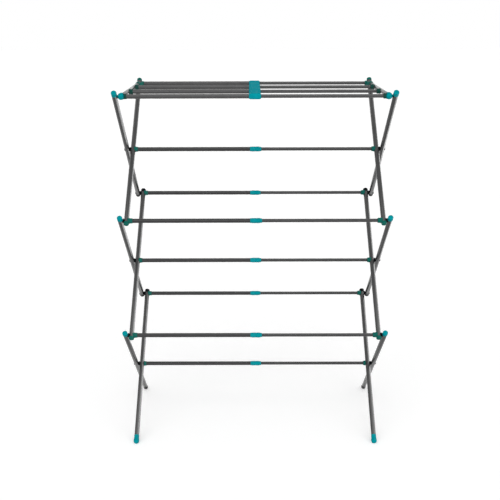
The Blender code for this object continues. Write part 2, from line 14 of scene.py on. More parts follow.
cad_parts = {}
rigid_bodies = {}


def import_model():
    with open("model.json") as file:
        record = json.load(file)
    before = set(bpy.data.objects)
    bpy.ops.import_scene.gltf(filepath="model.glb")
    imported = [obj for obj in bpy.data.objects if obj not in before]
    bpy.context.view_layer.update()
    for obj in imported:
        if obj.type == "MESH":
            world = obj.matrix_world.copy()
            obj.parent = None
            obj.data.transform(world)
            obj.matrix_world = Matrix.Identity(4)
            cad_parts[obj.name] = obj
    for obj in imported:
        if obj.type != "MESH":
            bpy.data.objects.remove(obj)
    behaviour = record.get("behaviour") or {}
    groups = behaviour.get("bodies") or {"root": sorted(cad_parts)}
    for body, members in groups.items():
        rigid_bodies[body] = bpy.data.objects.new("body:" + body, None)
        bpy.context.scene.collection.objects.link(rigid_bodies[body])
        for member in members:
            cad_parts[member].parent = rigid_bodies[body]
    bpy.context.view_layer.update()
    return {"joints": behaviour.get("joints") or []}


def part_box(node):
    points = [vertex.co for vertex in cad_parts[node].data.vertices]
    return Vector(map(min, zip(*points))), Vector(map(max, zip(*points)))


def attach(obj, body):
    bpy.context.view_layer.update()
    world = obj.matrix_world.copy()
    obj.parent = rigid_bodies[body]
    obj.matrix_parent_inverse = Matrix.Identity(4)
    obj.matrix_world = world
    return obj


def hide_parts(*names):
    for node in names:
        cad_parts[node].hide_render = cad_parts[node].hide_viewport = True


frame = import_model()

# The photograph's camera
PHOTO_PX = 500.0
FOCAL_PX = 868.3
CENTRE_PX = (248.7, 280.0)
CAMERA_BACK = 2.5387  # from the middle of the airer
CAMERA_HEIGHT = 1.2266
CAMERA_SIDE = -0.0119
CAMERA_DOWN = 0.2972
CAMERA_TURN = 0.0026
CAMERA_ROLL = -0.0027
SENSOR_MM = 36.0

# Light
ROOM_LIGHT = 0.50
FLOOR_LIFT = 0.26  # added to the floor where it is seen, so that it is white outside the shadow
STREAK_PANEL_HEIGHT = 0.97
STREAK_PANEL_DEPTH = 1.00
STREAK_PANEL_WATTS = 12.0
STREAK_PANEL_AWAY = 0.3725  # to the right of the outer legs of its side
FLOOR_SIZE = 60.0
FLOOR_COLOUR = (0.90, 0.90, 0.90, 1.0)
WHITE = (1.0, 1.0, 1.0, 1.0)
# Soft lamps far away: strength, angle across the sky and the way that they shine
SKY_LAMPS = {
    "front_left": (1.10, math.radians(60), (0.35, 0.90, -0.75)),
    "front_right": (0.90, math.radians(60), (-0.45, 0.90, -0.60)),
}

# Fineness
AROUND = 40  # facets round a turned piece
SLOT_AROUND = 24
DOME_STEPS = 7
DOME_TURN = math.radians(84)  # from a dome's rim to the small flat at its pole
SMOOTH_ANGLE = math.radians(38)
EDGE = 0.0004  # small rounding on moulded edges
EDGE_SHARE = 0.3  # of a rounding, where its middle point lies
MERGE_DISTANCE = 0.000002
CUT_TOLERANCE = 0.000001
PAST_PLANE = 0.00001  # picks only the points that lie past a plane, not on it
CUTTER_HALF = 0.03  # length of a round cutter to either side
CUTTER_GAP = 0.00005  # between a saddle and the tube that it wraps

# Joints of the frame
HINGE_POINTS = {item["name"]: Vector(item["pos_m"]) for item in frame["joints"] if "pos_m" in item}
PIVOTS = {1: HINGE_POINTS["fold_a1"], 2: HINGE_POINTS["fold_a2"], 3: HINGE_POINTS["fold"]}
FRONT_JOINTS = {1: HINGE_POINTS["fold_b1"], 2: HINGE_POINTS["fold_b2"]}
RACK_HINGE = HINGE_POINTS["rack_lift"]
HALF_LINK = (PIVOTS[1] - FRONT_JOINTS[1]).length
LEAN = math.atan2(PIVOTS[1].z - FRONT_JOINTS[1].z, PIVOTS[1].y - FRONT_JOINTS[1].y)


def middle_of(node):
    low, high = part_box(node)
    return (low + high) / 2


def half_of(node, axis):
    low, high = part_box(node)
    return (high[axis] - low[axis]) / 2


# Planes and radii read from the frame
OUTER_PLANE = middle_of("leg_a2_right").x
INNER_PLANE = middle_of("leg_b2_right").x
LEG_RADIUS = half_of("leg_b2_right", 0)
CAP_RADIUS = LEG_RADIUS + 0.0006
RAIL_RADIUS = half_of("rack_rail_1_tube", 2)
SLIDE_RADIUS = half_of("rack_rail_1_slide", 2)
COLLAR_RADIUS = half_of("pivot_collar_1", 2)
COLLAR_HALF = half_of("pivot_collar_1", 0)
COLLAR_MIDDLE = middle_of("pivot_collar_1").x
HUB_RADIUS = half_of("pivot_hub_1_left", 2)
RACK_HEIGHT = RACK_HINGE.z  # of the level rack, before it is let down onto its pegs
RAIL_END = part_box("pivot_rail_1_slide")[1].x
SLIDE_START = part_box("pivot_rail_1_slide")[0].x
TUBE_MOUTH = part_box("pivot_rail_1_tube")[1].x
RACK_TUBE_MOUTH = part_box("rack_rail_1_tube")[1].x
RACK_NUMBERS = (1, 2, 3, 4)  # of its rails, from the front

# Clearances and walls
GAP = 0.0003
RAIL_WALL = 0.0008
TIP_RADIUS = 0.0076
PIN_RADIUS = 0.0030
SPACER_RADIUS = 0.0052
FLANGE_RADIUS = 0.0068  # of the washer in the middle of a spacer
FLANGE_HALF = 0.0009
PIN_HEAD_RADIUS = 0.0045
PIN_HEAD_RISE = 0.0012
PIN_ROOT = 0.002  # how far the hinge's pin goes back into its hub
SEAT = 0.0024  # how far a boss goes into the round of a leg tube

# Ends of the legs, along the leg from the joint
CAP_REACH = 0.0200
END_REACH = 0.0150
END_ROUND = 0.0030
END_TRIM = 0.0006  # keeps the fuller rounding of a moulded end inside the frame's box
TUBE_REACH = 0.0056
TOP_TUBE_REACH = 0.0086
LONG_TIP_START = 0.0022  # where the black tip at a back joint begins, past the joint's axis
TOP_END_REACH = 0.0200
TUBE_PUSH = 0.0010  # how far a bare tube goes into its plastic
LIP_LAP = 0.0001  # of an open lip over the face of its tube
TIP_INSET = 0.0001  # of a tip's body inside its lip
# From a tip's open end: the end of its lip, its groove and the start of its full body
TIP_LIP = 0.0016
GROOVE_START = 0.0020
GROOVE_END = 0.0028
GROOVE_DEPTH = 0.00035
TIP_SHOULDER = 0.0032
# A pressed-in end: its corner's share of the rise, then two rings as shares of radius and rise
PRESSED_CORNER_SHARE = 0.75
PRESSED_POLE_SHARES = ((0.35, 0.94), (0.12, 1.0))
FRONT_FOOT_LENGTH = 0.0185
FRONT_FOOT_RADIUS = 0.0083
FRONT_NECK_RADIUS = 0.0076
# The neck and flare of the front foot: share of its length from the round end, and drop inside
# the neck's radius or, for the flare, inside the foot's
FOOT_NECK = ((0.88, 0.0), (0.84, 0.0003), (0.55, 0.0002))
FOOT_FLARE = (0.24, 0.0004)
FOOT_RING_SHARES = (0.20, 0.10)  # where each of its grip rings begins
FOOT_RING_STEP_SHARES = (0.04, 0.055, 0.08)  # from there to its end and over the next groove
FOOT_GROOVE = 0.0004
BACK_FOOT_LENGTH = 0.0110
BACK_FOOT_RADIUS = 0.0076
BACK_FOOT_DROP = 0.0002  # of its upper part
BACK_FOOT_STEP_SHARES = (0.70, 0.50)
RACK_EXTRA = (RACK_HINGE - PIVOTS[1]).length - HALF_LINK

# Hubs, from the middle plane outwards
HUB_BASE = INNER_PLANE - LEG_RADIUS - GAP
HUB_LENGTH = 0.0095  # at a front joint
BACK_HUB_LENGTH = 0.0078
PIVOT_HUB_LENGTH = 0.0068
ARM_HUB_LENGTH = 0.0075
ARM_HUB_RADIUS = 0.0074
HUB_FLOOR = RAIL_END + GAP
HUB_MOUTH_RADIUS = 0.0070
HUB_SHOULDER = (0.0010, 0.0018)  # from the base: where it begins and ends
HUB_SHOULDER_DROP = 0.0006
# The lip at a hub's mouth: distances from the mouth to its end and over a small step behind it
HUB_LIP = (0.0019, 0.0025, 0.0030)
HUB_LIP_STEP = 0.0001
SADDLE_REACH = 0.0036  # how far a hub wraps round its leg

# Collars
COLLAR_TUBE_LIP = 0.0007  # thickness of its end on the thick tube
COLLAR_SLIDE_LIP = 0.0011
COLLAR_SHOULDER_DROP = 0.0006
COLLAR_TUBE_TAPER = (0.0042, 0.0060)  # from that end to its shoulder and to its full radius
COLLAR_SLIDE_TAPER = (0.0052, 0.0072)
COLLAR_BAND = (0.0016, 0.0022)  # half the bottom and half the top of the band in its middle
COLLAR_BAND_DEPTH = 0.0003

# Top rack
ARM_RADIUS = 0.0060
ARM_CAP_RADIUS = ARM_RADIUS + 0.0032
ARM_END_RADIUS = ARM_RADIUS + 0.0020
ARM_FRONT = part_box("rack_arm_right")[0].y
ARM_CAP_SKIRT = 0.0110
ARM_CAP_WAIST = 0.0004
WAIST_START = 0.0022  # from a cap's open end
WAIST_END = 0.0043
WAIST_SLOPE = 0.0005
BACK_CAP_CORNER = (0.0005, 0.0016)  # a near and a far point of its rounded rim
EAR_CAP_START = 0.0210  # from the rack's hinge axis forwards to the back cap
EAR_CAP_LENGTH = 0.0160
EAR_HALF_HEIGHT = 0.0060
EAR_INNER = HUB_BASE - 0.0045
EAR_OUTER = INNER_PLANE - TIP_RADIUS - GAP
EAR_STOP = 0.0041  # from the hinge axis forwards to the flat ear's end, inside its hub
EAR_PIN_DEPTH = 0.0040
EAR_ROOT_SHARE = 0.75  # of the back cap's length, that the ear reaches along it
EAR_ROOT_IN = 0.0035  # how far its front end leans into the cap
EAR_ROOT_HEIGHT_SHARE = 0.6
EAR_ROUND = 0.0009
EAR_ROUND_STEPS = 3
SLOT_DEPTH = 0.02
PEG_END_INSET = 0.0015
PEG_WASHER_RADIUS = 0.0048
PEG_WASHER = 0.0008
BRIDGE_HALF = half_of("rack_bridge", 0)
BRIDGE_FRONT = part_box("rack_bridge")[0].y
BRIDGE_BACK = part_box("rack_bridge")[1].y
BRIDGE_THICK = RAIL_RADIUS + 0.0018
BRIDGE_ROUND = 0.0042
BRIDGE_ROUND_STEPS = 5
BRIDGE_NOSE_SHARES = (0.76, 0.46)  # of its width and thickness, at both ends
BORE_PAST = 0.002  # how far its bores' cutter stands out
BORE_CHAMFER = 0.0006

SIDES = ("left", "right")


def outwards(side):
    return -1 if side == "left" else 1


def bottom_joint(top, pivot):
    """The joint opposite another one across a pivot of the scissor."""
    return 2 * pivot - top


BACK_JOINTS = {
    1: Vector((0.0, bottom_joint(FRONT_JOINTS[1], PIVOTS[1]).y, FRONT_JOINTS[1].z)),
    2: Vector((0.0, bottom_joint(FRONT_JOINTS[2], PIVOTS[2]).y, FRONT_JOINTS[2].z)),
}
PEG_POINT = Vector((0.0, FRONT_JOINTS[1].y, 2 * PIVOTS[1].z - FRONT_JOINTS[1].z))


def let_down():
    """The small turn about the hinge that lets the level rack down onto its pegs."""
    front = middle_of("rack_rail_1_tube")
    tilt = math.atan2(RACK_HINGE.z - front.z, RACK_HINGE.y - front.y)
    hinge = Matrix.Translation(RACK_HINGE)
    return hinge @ Matrix.Rotation(tilt, 4, "X") @ hinge.inverted()


RACK_PLACE = let_down()


def across(side, point):
    """Frame whose Z points outwards along the joint, from the middle plane of the airer."""
    turn = Matrix.Rotation(outwards(side) * math.pi / 2, 4, "Y")
    return Matrix.Translation(point) @ turn


def along_leg(side, plane, lean_sign, point):
    """Frame at a point of a leg with Z up along it. lean_sign is 1 for A and -1 for B."""
    turn = Matrix.Rotation(lean_sign * (math.pi / 2 - LEAN), 4, "X")
    return Matrix.Translation(point + Vector((outwards(side) * plane, 0.0, 0.0))) @ turn


def upside_down(place):
    return place @ Matrix.Rotation(math.pi, 4, "X")


# Materials


class Finish:
    """A node material with the few steps that the airer's finishes are built from."""

    def __init__(self, name, roughness, metallic=0.0, specular=0.5):
        self.material = bpy.data.materials.new(name)
        self.material.use_nodes = True
        self.tree = self.material.node_tree
        self.shader = self.tree.nodes["Principled BSDF"]
        self.shader.inputs["Roughness"].default_value = roughness
        self.shader.inputs["Metallic"].default_value = metallic
        self.shader.inputs["Specular IOR Level"].default_value = specular
        self.bumps = []

    def node(self, kind, **settings):
        made = self.tree.nodes.new(kind)
        for name, value in settings.items():
            setattr(made, name, value)
        return made

    def link(self, start, end):
        self.tree.links.new(start, end)

    def noise(self, scale, detail=2.0, stretch=None):
        """Noise over the object's own coordinates, or along and round a turned piece."""
        made = self.node("ShaderNodeTexNoise")
        made.inputs["Scale"].default_value = scale
        made.inputs["Detail"].default_value = detail
        if stretch:
            source = self.node("ShaderNodeUVMap", uv_map="turned").outputs["UV"]
            mapping = self.node("ShaderNodeMapping")
            mapping.inputs["Scale"].default_value = stretch
            self.link(source, mapping.inputs["Vector"])
            self.link(mapping.outputs["Vector"], made.inputs["Vector"])
        else:
            source = self.node("ShaderNodeTexCoord").outputs["Object"]
            self.link(source, made.inputs["Vector"])
        return made.outputs["Fac"]

    def ramp(self, factor, stops):
        """Colours or greys spread over a factor: each stop is (place, colour)."""
        made = self.node("ShaderNodeValToRGB")
        elements = made.color_ramp.elements
        while len(elements) < len(stops):
            elements.new(0.5)
        for element, (position, colour) in zip(elements, stops):
            element.position = position
            element.color = colour
        self.link(factor, made.inputs["Fac"])
        return made.outputs["Color"]

    def mix(self, factor, first, second):
        made = self.node("ShaderNodeMix", data_type="RGBA")
        self.link(factor, made.inputs["Factor"])
        for socket, value in ((made.inputs["A"], first), (made.inputs["B"], second)):
            if isinstance(value, tuple):
                socket.default_value = value
            else:
                self.link(value, socket)
        return made.outputs["Result"]

    def line_round(self, place, half_width):
        """A thin line along a turned piece, at a share of the way round it."""
        split = self.node("ShaderNodeSeparateXYZ")
        turned_map = self.node("ShaderNodeUVMap", uv_map="turned")
        self.link(turned_map.outputs["UV"], split.inputs["Vector"])
        near = self.node("ShaderNodeMath", operation="COMPARE")
        near.inputs[1].default_value = place
        near.inputs[2].default_value = half_width
        self.link(split.outputs["X"], near.inputs[0])
        return near.outputs["Value"]

    def colour(self, output):
        self.link(output, self.shader.inputs["Base Color"])

    def roughness(self, output):
        self.link(output, self.shader.inputs["Roughness"])

    def bump(self, height, strength, distance):
        """Adds a layer of relief over the ones before it."""
        made = self.node("ShaderNodeBump")
        made.inputs["Strength"].default_value = strength
        made.inputs["Distance"].default_value = distance
        self.link(height, made.inputs["Height"])
        if self.bumps:
            self.link(self.bumps[-1], made.inputs["Normal"])
        self.bumps.append(made.outputs["Normal"])
        self.link(made.outputs["Normal"], self.shader.inputs["Normal"])


# Patterns on the paint: scales of noise, and (strength, depth) of relief
MOTTLE_SCALE = 38.0
MOTTLE_SHARES = (0.93, 1.07)  # of the tone, in its darker and lighter patches
RUB_STRETCH = (46.0, 5.0, 1.0)
RUB_GREY = 0.10
SHEEN_SCALE = 9.0
PEEL_SCALE = 1500.0
PEEL_RELIEF = (0.22, 0.00008)
SEAM = (0.80, 0.008)  # share of the way round, and half its width
SEAM_RELIEF = (0.35, 0.00006)
# Patterns on the plastic
PATCH_SCALE = 70.0
PLASTIC_SHEEN_SCALE = 240.0
GRAIN_SCALE = 2600.0
GRAIN_RELIEF = (0.18, 0.00006)
PARTING = (0.5, 0.006)
PARTING_RELIEF = (0.5, 0.00008)

# Paint on tubes: name, tone, how far rub marks show, roughness and specular level
TUBE_PAINTS = {
    "leg": ("painted_leg_tube", 0.036, 0.10, 0.19, 0.45),
    "rail": ("painted_rail_tube", 0.033, 0.10, 0.27, 0.24),
    "slide": ("painted_slide_tube", 0.042, 0.16, 0.27, 0.30),
    # The rack's rails and slides take a lighter tone of the same paint than the rails below: painted
    # light, the top rack lit from above and the lower rails in shade
    "rack_rail": ("rack_tube_paint_lit_from_above", 0.056, 0.10, 0.27, 0.34),
    "rack_slide": ("rack_slide_paint_lit_from_above", 0.052, 0.20, 0.27, 0.36),
    # The arms take a much lighter tone of the same grey paint: a painted highlight along their lit
    # tops
    "arm": ("rack_arm_painted_highlight", 0.090, 0.10, 0.19, 0.60),
}
# Plastic: name, lighter and deeper colour, roughness and specular level
PLASTICS = {
    "teal": ("teal_plastic", (0.001, 0.272, 0.308, 1), (0.0, 0.238, 0.272, 1), 0.50, 0.02),
    "bridge": ("bridge_plastic", (0.002, 0.288, 0.342, 1), (0.001, 0.257, 0.305, 1), 0.60, 0.004),
    # The hubs' teal is the caps' teal plastic in painted shade: a darker, greener copy for the hubs,
    # their pin heads and some tips
    "shaded_teal": (
        "hub_teal_painted_shade", (0.006, 0.125, 0.100, 1), (0.004, 0.100, 0.082, 1), 0.44, 0.05
    ),
    # The hubs on the rack's arms: the same teal plastic in deeper painted shade, as under the arms
    "arm_shaded_teal": ("arm_hub_painted_shade", (0.010, 0.060, 0.048, 1), (0.007, 0.045, 0.036, 1), 0.44, 0.05),
    "black": ("dark_plastic", (0.004, 0.005, 0.007, 1), (0.002, 0.003, 0.004, 1), 0.48, 0.025),
    "smoke": ("grey_plastic", (0.062, 0.062, 0.064, 1), (0.050, 0.050, 0.052, 1), 0.48, 0.05),
}


def grey(value):
    return (value, value, value * 1.02, 1.0)


def tube_paint(name, tone, worn, smooth, specular):
    """Dark grey powder coat on steel tube: fine orange peel, a faint seam, and rub marks along
    the tubes that slide."""
    finish = Finish(name, smooth, specular=specular)
    mottle = finish.noise(MOTTLE_SCALE, 3.0)
    darker, lighter = (grey(tone * share) for share in MOTTLE_SHARES)
    base = finish.ramp(mottle, [(0.30, darker), (0.72, lighter)])
    rubs = finish.noise(1.0, 4.0, stretch=RUB_STRETCH)
    marks = finish.ramp(rubs, [(0.60, grey(0.0)), (0.74, grey(worn))])
    finish.colour(finish.mix(marks, base, grey(RUB_GREY)))
    sheen = finish.noise(SHEEN_SCALE)
    finish.roughness(finish.ramp(sheen, [(0.3, grey(smooth - 0.04)), (0.7, grey(smooth + 0.05))]))
    finish.bump(finish.noise(PEEL_SCALE), *PEEL_RELIEF)
    finish.bump(finish.line_round(*SEAM), *SEAM_RELIEF)
    return finish.material


def moulded(name, light, dark, roughness, specular):
    """Moulded plastic: a little deeper and lighter in patches, a spark-eroded grain, and the
    parting line of its mould."""
    finish = Finish(name, roughness, specular=specular)
    patches = finish.noise(PATCH_SCALE)
    finish.colour(finish.ramp(patches, [(0.3, dark), (0.7, light)]))
    sheen = finish.noise(PLASTIC_SHEEN_SCALE)
    low, high = roughness - 0.06, roughness + 0.07
    finish.roughness(finish.ramp(sheen, [(0.3, grey(low)), (0.7, grey(high))]))
    finish.bump(finish.noise(GRAIN_SCALE, 1.0), *GRAIN_RELIEF)
    finish.bump(finish.line_round(*PARTING), *PARTING_RELIEF)
    return finish.material


MATERIALS = {finish: tube_paint(*values) for finish, values in TUBE_PAINTS.items()}
MATERIALS.update({finish: moulded(*values) for finish, values in PLASTICS.items()})
SLOTS = {finish: "grey_tube" for finish in TUBE_PAINTS}
SLOTS.update({finish: "teal_plastic" for finish in ("teal", "bridge", "shaded_teal", "arm_shaded_teal")})
SLOTS.update({finish: "dark_plastic" for finish in ("black", "smoke")})


# Modelling


def start_piece():
    bpy.ops.object.select_all(action="DESELECT")


def finish_mesh(piece):
    bpy.ops.mesh.select_all(action="SELECT")
    bpy.ops.mesh.remove_doubles(threshold=MERGE_DISTANCE)
    bpy.ops.mesh.normals_make_consistent(inside=False)
    bpy.ops.object.mode_set(mode="OBJECT")
    bpy.ops.object.shade_smooth_by_angle(angle=SMOOTH_ANGLE)
    return piece


def map_round(mesh):
    """Maps a turned piece: across is the share of the way round and up is metres along it."""
    layer = mesh.uv_layers.new(name="turned")
    for face in mesh.polygons:
        corners = [mesh.vertices[mesh.loops[loop].vertex_index].co for loop in face.loop_indices]
        shares = [math.atan2(co.y, co.x) / math.tau + 0.5 for co in corners]
        wraps = max(shares) - min(shares) > 0.5
        for loop, share, co in zip(face.loop_indices, shares, corners):
            if wraps and share < 0.5:
                share += 1.0
            layer.data[loop].uv = (share, co.z)


def turned(rings, is_loop=False):
    """Draws a piece up from a flat ring. Each ring is (radius, height). A loop's last ring joins
    its first, which leaves a bore."""
    start_piece()
    radius, height = rings[0]
    bpy.ops.mesh.primitive_circle_add(
        vertices=AROUND,
        radius=radius,
        fill_type="NOTHING" if is_loop else "NGON",
        location=(0.0, 0.0, height),
    )
    piece = bpy.context.object
    bpy.ops.object.transform_apply(location=True, rotation=True, scale=True)
    bpy.ops.object.mode_set(mode="EDIT")
    bpy.ops.mesh.select_all(action="SELECT")
    for next_radius, next_height in rings[1:] + (rings[:1] if is_loop else []):
        lift = (0.0, 0.0, next_height - height)
        bpy.ops.mesh.extrude_region_move(TRANSFORM_OT_translate={"value": lift})
        scale = next_radius / radius
        bpy.ops.transform.resize(
            value=(scale, scale, 1.0), center_override=(0.0, 0.0, next_height)
        )
        radius, height = next_radius, next_height
    finish_mesh(piece)
    map_round(piece.data)
    return piece


def rounded_end(radius, centre, rise):
    """Rings of a rounded end, from its full radius to a small flat at its pole."""
    turns = [DOME_TURN * step / DOME_STEPS for step in range(DOME_STEPS + 1)]
    return [(radius * math.cos(turn), centre + rise * math.sin(turn)) for turn in turns]


def pressed_end(radius, centre, rise):
    """Rings of a low end with a full edge, as on a pressed-in cap."""
    corner = rise * PRESSED_CORNER_SHARE
    turns = [math.pi / 2 * step / DOME_STEPS for step in range(DOME_STEPS + 1)]
    rings = [
        (radius - corner + corner * math.cos(turn), centre + corner * math.sin(turn))
        for turn in turns
    ]
    pole = [(radius * wide, centre + rise * high) for wide, high in PRESSED_POLE_SHARES]
    return rings + pole


def edged(rings):
    """Adds a small rounding at the first and last outer edges of a plain run of rings."""
    (first_radius, first), (last_radius, last) = rings[0], rings[-1]
    inside = EDGE * EDGE_SHARE
    start = [(first_radius - EDGE, first), (first_radius - inside, first + inside)]
    end = [(last_radius - inside, last - inside), (last_radius - EDGE, last)]
    middle = [(first_radius, first + EDGE)] + rings[1:-1] + [(last_radius, last - EDGE)]
    return start + middle + end


def copy_of(master, name, place):
    """A copy of a modelled piece with its own mesh, put in its place."""
    mesh = master.data.copy()
    mesh.name = name
    mesh.transform(place)
    piece = bpy.data.objects.new(name, mesh)
    bpy.context.scene.collection.objects.link(piece)
    return piece


def dress(piece, body, nodes, finish):
    """Gives a piece its finish, its body and the solids that it stands for. A piece of the rack
    has been made on the level rack, and is let down with it here."""
    if body.startswith("rack"):
        piece.data.transform(RACK_PLACE)
    piece.data.materials.clear()
    piece.data.materials.append(MATERIALS[finish])
    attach(piece, body)
    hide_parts(*nodes)


def put(master, name, place, body, nodes, finish):
    dress(copy_of(master, name, place), body, nodes, finish)


def discard(*masters):
    for master in masters:
        bpy.data.objects.remove(master, do_unlink=True)


def boolean(piece, other, operation):
    """Cuts or joins a piece with another and keeps the result."""
    start_piece()
    bpy.context.view_layer.objects.active = piece
    piece.select_set(True)
    step = piece.modifiers.new(operation, "BOOLEAN")
    step.operation = operation
    step.object = other
    step.solver = "EXACT"
    bpy.ops.object.modifier_apply(modifier=step.name)
    bpy.ops.object.mode_set(mode="EDIT")
    return finish_mesh(piece)


def flat_on_floor(piece):
    """Cuts a foot off level with the floor."""
    start_piece()
    bpy.context.view_layer.objects.active = piece
    piece.select_set(True)
    bpy.ops.object.mode_set(mode="EDIT")
    bpy.ops.mesh.select_all(action="SELECT")
    bpy.ops.mesh.bisect(
        plane_co=(0.0, 0.0, 0.0),
        plane_no=(0.0, 0.0, 1.0),
        use_fill=True,
        clear_inner=True,
        threshold=CUT_TOLERANCE,
    )
    return finish_mesh(piece)


# Legs


def leg_places(side):
    """For each leg: its plane, its lean and its pivot."""
    places = {}
    for tier, pivot in PIVOTS.items():
        places[f"a{tier}"] = (OUTER_PLANE, 1, pivot)
        places[f"b{tier}"] = (INNER_PLANE, -1, pivot)
    return {leg: along_leg(side, *place) for leg, place in places.items()}


# Lower and upper end of each leg's bare tube, from its pivot
REACH = HALF_LINK + TUBE_REACH + TUBE_PUSH
TUBE_SPANS = {
    "a1": (-REACH, REACH),
    "a2": (-REACH, REACH),
    "a3": (-HALF_LINK + BACK_FOOT_LENGTH - TUBE_PUSH, REACH),
    "b1": (-REACH, HALF_LINK + RACK_EXTRA + TOP_TUBE_REACH + TUBE_PUSH),
    "b2": (-REACH, REACH),
    "b3": (-HALF_LINK + FRONT_FOOT_LENGTH - TUBE_PUSH, REACH),
}


def make_leg_tubes():
    for leg, (low, high) in TUBE_SPANS.items():
        master = turned(edged([(LEG_RADIUS, low), (LEG_RADIUS, high)]))
        for side in SIDES:
            place = leg_places(side)[leg]
            put(master, f"tube_{leg}_{side}", place, f"{leg}_{side}", [f"leg_{leg}_{side}"], "leg")
        discard(master)


def tip_rings(radius, start, end, trim=END_TRIM):
    """A cap or tip on a tube: a lip at the tube's end, a shallow groove and a low round end."""
    groove, inset = radius - GROOVE_DEPTH, radius - TIP_INSET
    rings = [
        (LEG_RADIUS + LIP_LAP, start),
        (radius - EDGE, start),
        (radius, start + EDGE),
        (radius, start + TIP_LIP),
        (groove, start + GROOVE_START),
        (groove, start + GROOVE_END),
        (inset, start + TIP_SHOULDER),
    ]
    return rings + pressed_end(inset, end - trim - END_ROUND, END_ROUND)


def make_caps_and_tips():
    cap = turned(tip_rings(CAP_RADIUS, TUBE_REACH, CAP_REACH))
    tip = turned(tip_rings(TIP_RADIUS, TUBE_REACH, END_REACH))
    long_tip = turned(tip_rings(TIP_RADIUS, LONG_TIP_START, END_REACH, trim=0.0))
    top_tip = turned(tip_rings(TIP_RADIUS, TOP_TUBE_REACH, TOP_END_REACH))
    up = Matrix.Translation((0.0, 0.0, HALF_LINK))
    hinge_up = Matrix.Translation((0.0, 0.0, HALF_LINK + RACK_EXTRA))
    down = upside_down(Matrix.Translation((0.0, 0.0, -HALF_LINK)))
    for side in SIDES:
        legs = leg_places(side)
        for tier in PIVOTS:
            leg, node = f"a{tier}", f"leg_a{tier}_{side}"
            put(cap, f"cap_{leg}_{side}", legs[leg] @ up, f"{leg}_{side}", [node], "teal")
        for tier in (1, 2):
            leg, node = f"a{tier}", f"leg_a{tier}_{side}"
            put(tip, f"back_tip_{leg}_{side}", legs[leg] @ down, f"{leg}_{side}", [node], "smoke")
            leg, node = f"b{tier}", f"front_hub_{tier}_{side}"
            # The lower tips of the B legs take the teal in painted shade
            name, finish = f"front_tip_{leg}_{side}", "shaded_teal"
            put(tip, name, legs[leg] @ down, f"{leg}_{side}", [node], finish)
            leg, node = f"b{tier + 1}", f"back_hub_{tier}_{side}"
            name, finish = f"back_tip_{leg}_{side}", "black"
            put(long_tip, name, legs[leg] @ up, f"{leg}_{side}", [node], finish)
        # The top tip of B1 takes the teal in painted shade
        name, node = f"top_tip_b1_{side}", f"top_hub_{side}"
        put(top_tip, name, legs["b1"] @ hinge_up, f"b1_{side}", [node], "shaded_teal")
    discard(cap, tip, long_tip, top_tip)


def front_foot_rings():
    """The flared front foot, drawn from its top edge down: a lip, a neck and two grip rings."""
    length, wide, neck = FRONT_FOOT_LENGTH, FRONT_FOOT_RADIUS, FRONT_NECK_RADIUS
    flare, flare_drop = FOOT_FLARE
    rings = [
        (LEG_RADIUS + LIP_LAP, -length),
        (neck - EDGE, -length),
        (neck, -length + EDGE),
    ]
    rings += [(neck - drop, -length * share) for share, drop in FOOT_NECK]
    rings.append((wide - flare_drop, -length * flare))
    for start in FOOT_RING_SHARES:
        ring_end, groove, groove_end = (start - step for step in FOOT_RING_STEP_SHARES)
        rings += [(wide, -length * share) for share in (start, ring_end)]
        rings += [(wide - FOOT_GROOVE, -length * share) for share in (groove, groove_end)]
    return rings + rounded_end(wide, 0.0, wide)


def back_foot_rings():
    length, wide, upper = BACK_FOOT_LENGTH, BACK_FOOT_RADIUS, BACK_FOOT_RADIUS - BACK_FOOT_DROP
    step_start, step_end = BACK_FOOT_STEP_SHARES
    rings = [
        (LEG_RADIUS + LIP_LAP, -length),
        (upper - EDGE, -length),
        (upper, -length + EDGE),
        (upper, -length * step_start),
        (wide, -length * step_end),
    ]
    return rings + rounded_end(wide, 0.0, wide)


def make_feet():
    front, back = turned(front_foot_rings()), turned(back_foot_rings())
    down = upside_down(Matrix.Translation((0.0, 0.0, -HALF_LINK)))
    for side in SIDES:
        legs = leg_places(side)
        for master, leg, finish in ((front, "b3", "teal"), (back, "a3", "smoke")):
            name = f"foot_{leg}_{side}"
            foot = copy_of(master, name, legs[leg] @ down)
            dress(flat_on_floor(foot), f"{leg}_{side}", [f"leg_{leg}_{side}"], finish)
    discard(front, back)


# Hubs and pins


def rail_radius(side):
    return RAIL_RADIUS if side == "left" else SLIDE_RADIUS


def hub_rings(side, root, length=HUB_LENGTH, wide=HUB_RADIUS):
    """A hub from its root on the leg, in to its mouth and down its socket."""
    socket = rail_radius(side) + GAP / 2
    narrow, mouth = HUB_MOUTH_RADIUS, HUB_BASE - length
    lip_end, step_end, step_start = HUB_LIP
    return [
        (wide - EDGE, root),
        (wide, root - EDGE),
        (wide, HUB_BASE - HUB_SHOULDER[0]),
        (wide - HUB_SHOULDER_DROP, HUB_BASE - HUB_SHOULDER[1]),
        (narrow + HUB_LIP_STEP, mouth + step_start),
        (narrow - HUB_LIP_STEP, mouth + step_end),
        (narrow, mouth + lip_end),
        (narrow, mouth + EDGE),
        (narrow - EDGE, mouth),
        (socket + EDGE / 2, mouth),
        (socket, mouth + EDGE / 2),
        (socket, HUB_FLOOR),
    ]


def spacer_rings():
    """The dark spacer between the two legs of a joint, seated in the round of both tubes."""
    low, high = INNER_PLANE + LEG_RADIUS - SEAT, OUTER_PLANE - LEG_RADIUS + SEAT
    middle, edge = (low + high) / 2, EDGE / 2
    return [
        (SPACER_RADIUS, low),
        (SPACER_RADIUS, middle - FLANGE_HALF),
        (FLANGE_RADIUS - edge, middle - FLANGE_HALF),
        (FLANGE_RADIUS, middle - FLANGE_HALF + edge),
        (FLANGE_RADIUS, middle + FLANGE_HALF - edge),
        (FLANGE_RADIUS - edge, middle + FLANGE_HALF),
        (SPACER_RADIUS, middle + FLANGE_HALF),
        (SPACER_RADIUS, high),
    ]


